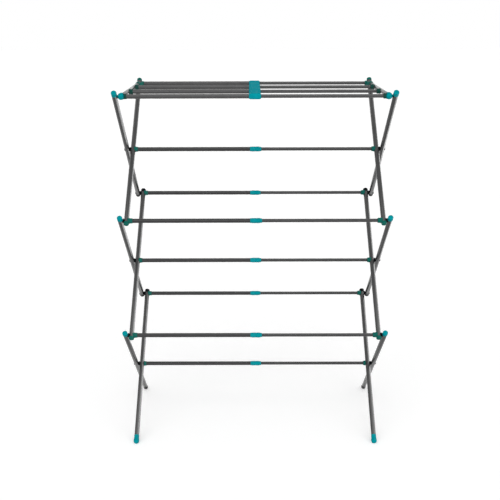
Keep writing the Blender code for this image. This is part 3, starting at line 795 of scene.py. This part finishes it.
def head_rings(plane):
    """The domed head of a pin on the outer face of a leg, seated in the round of its tube."""
    low = plane + LEG_RADIUS - SEAT
    face, wide = plane + LEG_RADIUS + GAP, PIN_HEAD_RADIUS
    return [(wide, low), (wide, face)] + rounded_end(wide, face, PIN_HEAD_RISE)


# Each lower hub: its joint, and the leg that it sits on, or None for the one that legs turn on
HUB_SEATS = {
    "pivot_hub_1": (PIVOTS[1], "b1"),
    "pivot_hub_2": (PIVOTS[2], "b2"),
    "pivot_hub_3": (PIVOTS[3], None),
    "front_hub_1": (FRONT_JOINTS[1], "b1"),
    "front_hub_2": (FRONT_JOINTS[2], "b2"),
    "back_hub_1": (BACK_JOINTS[1], "b2"),
    "back_hub_2": (BACK_JOINTS[2], "b3"),
}


def cut_saddle(hub, radius, place):
    """Cuts a hub round the tube that it wraps, with a little clearance."""
    round_cut = radius + CUTTER_GAP
    cutter = turned([(round_cut, -CUTTER_HALF), (round_cut, CUTTER_HALF)])
    cutter.data.transform(place)
    boolean(hub, cutter, "DIFFERENCE")
    discard(cutter)


def make_hubs():
    spacer, head = turned(spacer_rings()), turned(head_rings(OUTER_PLANE))
    for side in SIDES:
        wrapped = INNER_PLANE - SADDLE_REACH
        masters = {
            "front": turned(hub_rings(side, wrapped)),
            "back": turned(hub_rings(side, wrapped, BACK_HUB_LENGTH)),
            "pivot": turned(hub_rings(side, wrapped, PIVOT_HUB_LENGTH)),
            "base": turned(hub_rings(side, HUB_BASE, PIVOT_HUB_LENGTH)),
        }
        for name, (point, leg) in HUB_SEATS.items():
            node, body = f"{name}_{side}", f"{leg or 'base'}_{side}"
            place = across(side, point)
            kind = name.split("_")[0] if leg else "base"
            hub = copy_of(masters[kind], f"socket_{name}_{side}", place)
            if leg:
                cut_saddle(hub, LEG_RADIUS, along_leg(side, INNER_PLANE, -1, point))
            # The hubs take the teal in painted shade
            dress(hub, body, [node], "shaded_teal")
            put(spacer, f"spacer_{name}_{side}", place, body, [node], "black")
            if not name.startswith("front"):
                put(head, f"pin_head_{name}_{side}", place, body, [node], "black")
        discard(*masters.values())
    discard(spacer, head)


# Rails


def rail_rings(mouth):
    """The thick tube of a rail, from its hub to its mouth and back up its bore."""
    bore, edge = RAIL_RADIUS - RAIL_WALL, EDGE / 2
    return [
        (RAIL_RADIUS, -RAIL_END),
        (RAIL_RADIUS, mouth - edge),
        (RAIL_RADIUS - edge, mouth),
        (bore + edge, mouth),
        (bore, mouth - edge),
        (bore, -RAIL_END),
    ]


def collar_rings():
    """A collar with a bored step inside: full in the middle, drawn in to the tube at one end and
    to the slide at the other."""
    half, wide, step = COLLAR_HALF, COLLAR_RADIUS, TUBE_MOUTH - COLLAR_MIDDLE + GAP
    tube_bore, slide_bore = RAIL_RADIUS + GAP / 3, SLIDE_RADIUS + GAP / 3
    tube_lip, slide_lip = tube_bore + COLLAR_TUBE_LIP, slide_bore + COLLAR_SLIDE_LIP
    shoulder, band = wide - COLLAR_SHOULDER_DROP, wide - COLLAR_BAND_DEPTH
    band_bottom, band_top = COLLAR_BAND
    return [
        (tube_bore, -half),
        (tube_lip - EDGE / 2, -half),
        (tube_lip, -half + EDGE),
        (shoulder, -half + COLLAR_TUBE_TAPER[0]),
        (wide, -half + COLLAR_TUBE_TAPER[1]),
        (wide, -band_top),
        (band, -band_bottom),
        (band, band_bottom),
        (wide, band_top),
        (wide, half - COLLAR_SLIDE_TAPER[1]),
        (shoulder, half - COLLAR_SLIDE_TAPER[0]),
        (slide_lip, half - EDGE),
        (slide_lip - EDGE / 2, half),
        (slide_bore, half),
        (slide_bore, step),
        (tube_bore, step),
    ]


LOWER_RAILS = {
    "pivot_rail_1": (PIVOTS[1], "b1"),
    "pivot_rail_2": (PIVOTS[2], "b2"),
    "pivot_rail_3": (PIVOTS[3], "base"),
    "front_rail_1": (FRONT_JOINTS[1], "b1"),
    "front_rail_2": (FRONT_JOINTS[2], "b2"),
    "back_rail_1": (BACK_JOINTS[1], "b2"),
    "back_rail_2": (BACK_JOINTS[2], "b3"),
}


def rack_rail_axis(number):
    """The axis of a rail of the level rack."""
    rail = RACK_PLACE.inverted() @ middle_of(f"rack_rail_{number}_tube")
    return Vector((0.0, rail.y, RACK_HEIGHT))


RACK_RAILS = {f"rack_rail_{number}": rack_rail_axis(number) for number in RACK_NUMBERS}


def make_rails():
    tube = turned(rail_rings(TUBE_MOUTH), is_loop=True)
    rack_tube = turned(rail_rings(RACK_TUBE_MOUTH), is_loop=True)
    slide = turned(edged([(SLIDE_RADIUS, SLIDE_START), (SLIDE_RADIUS, RAIL_END)]))
    collar = turned(collar_rings(), is_loop=True)
    collar_place = Vector((COLLAR_MIDDLE, 0.0, 0.0))
    seats = dict(LOWER_RAILS)
    seats.update({name: (point, "rack") for name, point in RACK_RAILS.items()})
    for name, (point, body) in seats.items():
        place = across("right", point)
        master, group = (tube, "") if name in LOWER_RAILS else (rack_tube, "rack_")
        # The rack's rails and slides take the lighter copy of the rail paint: painted light from
        # above
        put(master, f"{name}_outer", place, f"{body}_left", [f"{name}_tube"], f"{group}rail")
        put(slide, f"{name}_inner", place, f"{body}_right", [f"{name}_slide"], f"{group}slide")
        if name in LOWER_RAILS:
            node = name.replace("rail", "collar")
            place = across("right", point + collar_place)
            put(collar, f"{node}_sleeve", place, f"{body}_left", [node], "teal")
    discard(tube, rack_tube, slide, collar)


# Top rack


def block(low, high):
    low, high = Vector(low), Vector(high)
    start_piece()
    bpy.ops.mesh.primitive_cube_add(size=1.0, location=(low + high) / 2)
    piece = bpy.context.object
    bpy.ops.object.transform_apply(location=True, rotation=True, scale=True)
    bpy.ops.object.mode_set(mode="EDIT")
    bpy.ops.mesh.select_all(action="SELECT")
    bpy.ops.transform.resize(value=high - low, center_override=(low + high) / 2)
    bpy.ops.object.mode_set(mode="OBJECT")
    return piece


def pick_points(piece, test):
    """Selects the vertices that pass a test and leaves the piece in edit mode."""
    start_piece()
    bpy.context.view_layer.objects.active = piece
    piece.select_set(True)
    bpy.ops.object.mode_set(mode="EDIT")
    bpy.ops.mesh.select_mode(type="VERT")
    bpy.ops.mesh.select_all(action="DESELECT")
    bpy.ops.object.mode_set(mode="OBJECT")
    for vertex in piece.data.vertices:
        vertex.select = test(vertex.co)
    bpy.ops.object.mode_set(mode="EDIT")


def arm_frame(side, y, forwards=False):
    """Frame on the axis of a rack arm, with Z along it."""
    turn = Matrix.Rotation(math.pi / 2 if forwards else -math.pi / 2, 4, "X")
    return Matrix.Translation((outwards(side) * INNER_PLANE, y, RACK_HEIGHT)) @ turn


def skirt_rings(wide, start):
    """The open end of an arm's cap: its lip on the tube, and a shallow waist."""
    waist = wide - ARM_CAP_WAIST
    return [
        (ARM_RADIUS + LIP_LAP, start),
        (wide - EDGE, start),
        (wide, start + EDGE),
        (wide, start + WAIST_START),
        (waist, start + WAIST_START + WAIST_SLOPE),
        (waist, start + WAIST_END),
        (wide, start + WAIST_END + WAIST_SLOPE),
    ]


def arm_cap_rings():
    """The front cap of a rack arm, from its skirt forwards over the front rail's axis."""
    wide, tip = ARM_CAP_RADIUS, RACK_RAILS["rack_rail_1"].y - ARM_FRONT
    return skirt_rings(wide, -ARM_CAP_SKIRT) + rounded_end(wide, tip - wide, wide)


def back_cap_rings():
    wide, end, (near, far) = ARM_END_RADIUS, EAR_CAP_LENGTH, BACK_CAP_CORNER
    rim = [(wide, end - far), (wide - near, end - near), (wide - far, end)]
    return skirt_rings(wide, 0.0) + rim


def slot_cutter(side):
    """A round-topped slot, open downwards, that leaves room for the peg."""
    peg, radius = RACK_PLACE.inverted() @ PEG_POINT, PIN_RADIUS + GAP
    inner = INNER_PLANE - PEG_END_INSET - GAP
    start_piece()
    bpy.ops.mesh.primitive_circle_add(vertices=SLOT_AROUND, radius=radius, fill_type="NGON")
    cutter = bpy.context.object
    bpy.ops.object.mode_set(mode="EDIT")
    bpy.ops.mesh.select_all(action="SELECT")
    bpy.ops.mesh.extrude_region_move(TRANSFORM_OT_translate={"value": (0.0, 0.0, SLOT_DEPTH)})
    bpy.ops.object.mode_set(mode="OBJECT")
    pick_points(cutter, lambda point: point.y < -PAST_PLANE)
    bpy.ops.transform.translate(value=(0.0, -ARM_CAP_RADIUS, 0.0))
    finish_mesh(cutter)
    upright = Matrix.Rotation(math.pi / 2, 4, "Z") @ Matrix.Rotation(math.pi / 2, 4, "X")
    if side == "left":
        upright = Matrix.Rotation(math.pi, 4, "Z") @ upright
    start = peg + Vector((outwards(side) * inner, 0.0, 0.0))
    cutter.data.transform(Matrix.Translation(start) @ upright)
    return cutter


def make_front_caps():
    cap = turned(arm_cap_rings())
    washer_start = OUTER_PLANE - LEG_RADIUS + SEAT
    washer_end = OUTER_PLANE - LEG_RADIUS - PEG_WASHER
    peg_end, inside = INNER_PLANE - PEG_END_INSET, EDGE * EDGE_SHARE
    peg = turned(
        [
            (PEG_WASHER_RADIUS, washer_start),
            (PEG_WASHER_RADIUS, washer_end + EDGE / 2),
            (PEG_WASHER_RADIUS - EDGE / 2, washer_end),
            (PIN_RADIUS, washer_end),
            (PIN_RADIUS, peg_end + EDGE),
            (PIN_RADIUS - inside, peg_end + inside),
            (PIN_RADIUS - EDGE, peg_end),
        ]
    )
    for side in SIDES:
        node = f"rack_arm_{side}"
        place = arm_frame(side, RACK_RAILS["rack_rail_1"].y, forwards=True)
        front_cap = copy_of(cap, f"arm_front_cap_{side}", place)
        slot = slot_cutter(side)
        boolean(front_cap, slot, "DIFFERENCE")
        discard(slot)
        dress(front_cap, f"rack_{side}", [node], "teal")
        peg_place, leg = across(side, PEG_POINT), f"leg_a1_{side}"
        put(peg, f"rack_peg_{side}", peg_place, f"a1_{side}", [leg], "black")
    discard(cap, peg)


def ear_blank(side):
    """The flat ear from the back cap to the hinge, drawn in at its front end."""
    xs = sorted((outwards(side) * EAR_INNER, outwards(side) * EAR_OUTER))
    shoulder = RACK_HINGE.y - EAR_CAP_START
    front = shoulder - EAR_CAP_LENGTH * EAR_ROOT_SHARE
    low = (xs[0], front, RACK_HEIGHT - EAR_HALF_HEIGHT)
    high = (xs[1], RACK_HINGE.y - EAR_STOP, RACK_HEIGHT + EAR_HALF_HEIGHT)
    ear = block(low, high)
    bpy.ops.object.mode_set(mode="EDIT")
    bpy.ops.mesh.select_all(action="SELECT")
    bpy.ops.mesh.bisect(plane_co=(0.0, shoulder, 0.0), plane_no=(0.0, 1.0, 0.0))
    bpy.ops.object.mode_set(mode="OBJECT")
    pick_points(ear, lambda point: point.y < front + EDGE)
    bpy.ops.transform.translate(value=(outwards(side) * EAR_ROOT_IN, 0.0, 0.0))
    bpy.ops.transform.resize(
        value=(1.0, 1.0, EAR_ROOT_HEIGHT_SHARE), center_override=(0.0, 0.0, RACK_HEIGHT)
    )
    bpy.ops.mesh.select_all(action="SELECT")
    bpy.ops.mesh.bevel(offset=EAR_ROUND, segments=EAR_ROUND_STEPS)
    return finish_mesh(ear)


def make_hinges():
    """The back cap, the ear and the hub of the last rack rail are one moulding."""
    back_cap = turned(back_cap_rings())
    head = turned(head_rings(INNER_PLANE))
    pin = turned([(PIN_RADIUS, HUB_BASE + PIN_ROOT), (PIN_RADIUS, HUB_BASE - EAR_PIN_DEPTH)])
    hole = PIN_RADIUS + GAP
    for side in SIDES:
        hinge_place = across(side, RACK_HINGE)
        floor = HUB_BASE - EAR_PIN_DEPTH - GAP
        rings = hub_rings(side, HUB_BASE, ARM_HUB_LENGTH)
        moulding = turned([(hole, floor), (hole, HUB_BASE)] + rings)
        moulding.data.transform(hinge_place)
        moulding.name = f"arm_hinge_{side}"
        ear = ear_blank(side)
        boolean(moulding, ear, "UNION")
        start = RACK_HINGE.y - EAR_CAP_START - EAR_CAP_LENGTH
        cap = copy_of(back_cap, "cap", arm_frame(side, start))
        boolean(moulding, cap, "UNION")
        discard(ear, cap)
        # The hinge moulding and its pin head take the teal in painted shade
        dress(moulding, f"rack_{side}", [f"rack_arm_{side}"], "shaded_teal")
        for master, name, finish in ((head, "pin_head", "shaded_teal"), (pin, "hinge_pin", "black")):
            put(master, f"{name}_top_{side}", hinge_place, f"b1_{side}", [f"top_hub_{side}"], finish)
    discard(back_cap, head, pin)


def make_arms():
    start = RACK_RAILS["rack_rail_1"].y + ARM_CAP_SKIRT - SEAT / 2
    end = RACK_HINGE.y - EAR_CAP_START - EAR_CAP_LENGTH + SEAT / 2
    tube = turned(edged([(ARM_RADIUS, start), (ARM_RADIUS, end)]))
    for side in SIDES:
        body, node = f"rack_{side}", f"rack_arm_{side}"
        # The arm tube's light tone is a painted highlight along its top
        put(tube, f"arm_tube_{side}", arm_frame(side, 0.0), body, [node], "arm")
        blank = turned(hub_rings(side, INNER_PLANE - SADDLE_REACH, ARM_HUB_LENGTH, ARM_HUB_RADIUS))
        for number in RACK_NUMBERS[:-1]:
            point = RACK_RAILS[f"rack_rail_{number}"]
            hub = copy_of(blank, f"arm_socket_{number}_{side}", across(side, point))
            radius = ARM_CAP_RADIUS if number == 1 else ARM_RADIUS
            cut_saddle(hub, radius, arm_frame(side, point.y))
            # The arm's hubs take the teal in deeper painted shade
            dress(hub, body, [node], "arm_shaded_teal")
        discard(blank)
    discard(tube)


# The bridge's outline near a rail: distance from it, and shares of full width and thickness
BRIDGE_WAVE = (
    (0.0125, 0.930, 0.880),
    (0.0110, 0.935, 0.885),
    (0.0095, 0.960, 0.915),
    (0.0078, 0.990, 0.970),
    (0.0050, 1.000, 0.995),
)
# Its rounded ends: distance past the outermost rail, and the same shares
BRIDGE_END = (
    (0.0045, 1.000, 0.995),
    (0.0070, 0.980, 0.930),
    (0.0088, 0.920, 0.790),
    (0.0097, 0.850, 0.620),
)


def bridge_stations():
    """Stations of the bridge from front to back: (y, share of width, share of thickness)."""
    ys = [axis.y for axis in RACK_RAILS.values()]
    stations = [(BRIDGE_FRONT, *BRIDGE_NOSE_SHARES)]
    stations += [(ys[0] - reach, wide, thick) for reach, wide, thick in reversed(BRIDGE_END)]
    for index, y in enumerate(ys):
        if index:
            stations += [(y - reach, wide, thick) for reach, wide, thick in BRIDGE_WAVE]
        stations.append((y, 1.0, 1.0))
        if index < len(ys) - 1:
            stations += [(y + reach, wide, thick) for reach, wide, thick in reversed(BRIDGE_WAVE)]
    stations += [(ys[-1] + reach, wide, thick) for reach, wide, thick in BRIDGE_END]
    return stations + [(BRIDGE_BACK, *BRIDGE_NOSE_SHARES)]


def bridge_section(y, width, thickness):
    """The bridge's cross-section, a flat panel with rounded corners, standing at its front."""
    start_piece()
    bpy.ops.mesh.primitive_plane_add(size=1.0, rotation=(math.pi / 2, 0.0, 0.0))
    piece = bpy.context.object
    bpy.ops.object.transform_apply(location=True, rotation=True, scale=True)
    bpy.ops.object.mode_set(mode="EDIT")
    bpy.ops.mesh.select_all(action="SELECT")
    bpy.ops.transform.resize(
        value=(2 * BRIDGE_HALF, 1.0, 2 * BRIDGE_THICK), center_override=(0.0, 0.0, 0.0)
    )
    bpy.ops.mesh.bevel(offset=BRIDGE_ROUND, segments=BRIDGE_ROUND_STEPS, affect="VERTICES")
    bpy.ops.transform.resize(value=(width, 1.0, thickness), center_override=(0.0, 0.0, 0.0))
    bpy.ops.transform.translate(value=(0.0, y, RACK_HEIGHT))
    return piece


def bore_rings():
    """The bore of a rail through the bridge, stepped down to the slide and chamfered outside."""
    past, flare = BRIDGE_HALF + BORE_PAST, BORE_CHAMFER + BORE_PAST
    rail_bore, slide_bore = RAIL_RADIUS + GAP / 3, SLIDE_RADIUS + GAP / 3
    step = RACK_TUBE_MOUTH + GAP
    return [
        (rail_bore + flare, -past),
        (rail_bore, -BRIDGE_HALF + BORE_CHAMFER),
        (rail_bore, step),
        (slide_bore, step),
        (slide_bore, BRIDGE_HALF - BORE_CHAMFER),
        (slide_bore + flare, past),
    ]


def make_bridge():
    stations = bridge_stations()
    y, width, thickness = stations[0]
    bridge = bridge_section(y, width, thickness)
    for next_y, next_width, next_thickness in stations[1:]:
        move = (0.0, next_y - y, 0.0)
        bpy.ops.mesh.extrude_region_move(TRANSFORM_OT_translate={"value": move})
        scale = (next_width / width, 1.0, next_thickness / thickness)
        bpy.ops.transform.resize(value=scale, center_override=(0.0, next_y, RACK_HEIGHT))
        y, width, thickness = next_y, next_width, next_thickness
    finish_mesh(bridge)
    bore = turned(bore_rings())
    for point in RACK_RAILS.values():
        cutter = copy_of(bore, "bore", across("right", point))
        boolean(bridge, cutter, "DIFFERENCE")
        discard(cutter)
    discard(bore)
    bridge.name = "rack_bridge_moulding"
    dress(bridge, "rack_left", ["rack_bridge"], "bridge")


make_leg_tubes()
make_caps_and_tips()
make_feet()
make_hubs()
make_rails()
make_front_caps()
make_hinges()
make_arms()
make_bridge()


# Floor, light and camera


def make_floor():
    start_piece()
    bpy.ops.mesh.primitive_plane_add(size=FLOOR_SIZE)
    floor = bpy.context.object
    floor.name = "studio_floor"
    finish = Finish("studio_floor", 0.9, specular=0.0)
    finish.shader.inputs["Base Color"].default_value = FLOOR_COLOUR
    finish.shader.inputs["Emission Color"].default_value = WHITE
    lift = finish.node("ShaderNodeMath", operation="MULTIPLY")
    lift.inputs[1].default_value = FLOOR_LIFT
    finish.link(seen_directly(finish.tree), lift.inputs[0])
    finish.link(lift.outputs["Value"], finish.shader.inputs["Emission Strength"])
    floor.data.materials.append(finish.material)


def seen_directly(tree):
    """1 where the camera or a reflection looks, and 0 where the surface only lights others."""
    paths = tree.nodes.new("ShaderNodeLightPath")
    seen = paths.outputs["Is Camera Ray"]
    for other in ("Is Glossy Ray", "Is Transmission Ray"):
        either = tree.nodes.new("ShaderNodeMath")
        either.operation = "MAXIMUM"
        tree.links.new(seen, either.inputs[0])
        tree.links.new(paths.outputs[other], either.inputs[1])
        seen = either.outputs["Value"]
    return seen


def make_world():
    """An even pale room for shading, and white wherever the camera or a reflection sees it."""
    world = bpy.data.worlds.new("studio")
    bpy.context.scene.world = world
    world.use_nodes = True
    tree = world.node_tree
    background = tree.nodes["Background"]
    background.inputs["Color"].default_value = WHITE
    strength = tree.nodes.new("ShaderNodeMapRange")
    strength.inputs["To Min"].default_value = ROOM_LIGHT
    strength.inputs["To Max"].default_value = 1.0
    tree.links.new(seen_directly(tree), strength.inputs["Value"])
    tree.links.new(strength.outputs["Result"], background.inputs["Strength"])


def add_soft_sky(name, strength, spread, shines_along):
    """A wide, even lamp far away, so that the whole floor is lit alike."""
    data = bpy.data.lights.new(name, "SUN")
    data.energy = strength
    data.angle = spread
    lamp = bpy.data.objects.new(name, data)
    lamp.rotation_euler = Vector(shines_along).to_track_quat("-Z", "Y").to_euler()
    bpy.context.scene.collection.objects.link(lamp)


def streaked_pieces():
    """All that the streak panels light: every mesh but the rails, which would shine white end to
    end when they are seen from the left side."""
    group = bpy.data.collections.new("streaked_pieces")
    for piece in bpy.context.scene.objects:
        if piece.type == "MESH" and "rail" not in piece.name:
            group.objects.link(piece)
    return group


def add_streak_panel(side, pieces):
    """A soft panel upright to the right of one side's legs. It shows only as the pale streak
    along the right of each leg."""
    data = bpy.data.lights.new(f"streak_panel_{side}", "AREA")
    data.shape = "RECTANGLE"
    data.size = STREAK_PANEL_HEIGHT
    data.size_y = STREAK_PANEL_DEPTH
    data.energy = STREAK_PANEL_WATTS
    lamp = bpy.data.objects.new(f"streak_panel_{side}", data)
    across_at = outwards(side) * OUTER_PLANE + STREAK_PANEL_AWAY
    lamp.location = (across_at, PIVOTS[1].y, STREAK_PANEL_HEIGHT / 2)
    lamp.rotation_euler = (0.0, math.pi / 2, 0.0)
    lamp.visible_camera = False
    lamp.visible_diffuse = False
    lamp.light_linking.receiver_collection = pieces
    bpy.context.scene.collection.objects.link(lamp)


def make_camera():
    data = bpy.data.cameras.new("photo_camera")
    data.sensor_width = SENSOR_MM
    data.lens = SENSOR_MM * FOCAL_PX / PHOTO_PX
    data.shift_x = (PHOTO_PX / 2 - CENTRE_PX[0]) / PHOTO_PX
    data.shift_y = (CENTRE_PX[1] - PHOTO_PX / 2) / PHOTO_PX
    camera = bpy.data.objects.new("photo_camera", data)
    turn = Matrix.Rotation(CAMERA_TURN, 4, "Z") @ Matrix.Rotation(math.pi / 2 - CAMERA_DOWN, 4, "X")
    place = Vector((CAMERA_SIDE, PIVOTS[1].y - CAMERA_BACK, CAMERA_HEIGHT))
    camera.matrix_world = Matrix.Translation(place) @ turn @ Matrix.Rotation(CAMERA_ROLL, 4, "Z")
    bpy.context.scene.collection.objects.link(camera)
    bpy.context.scene.camera = camera


make_floor()
make_world()
for name, lamp in SKY_LAMPS.items():
    add_soft_sky(name, *lamp)
streaked = streaked_pieces()
for side in SIDES:
    add_streak_panel(side, streaked)
make_camera()
bpy.context.scene.view_settings.view_transform = "Standard"
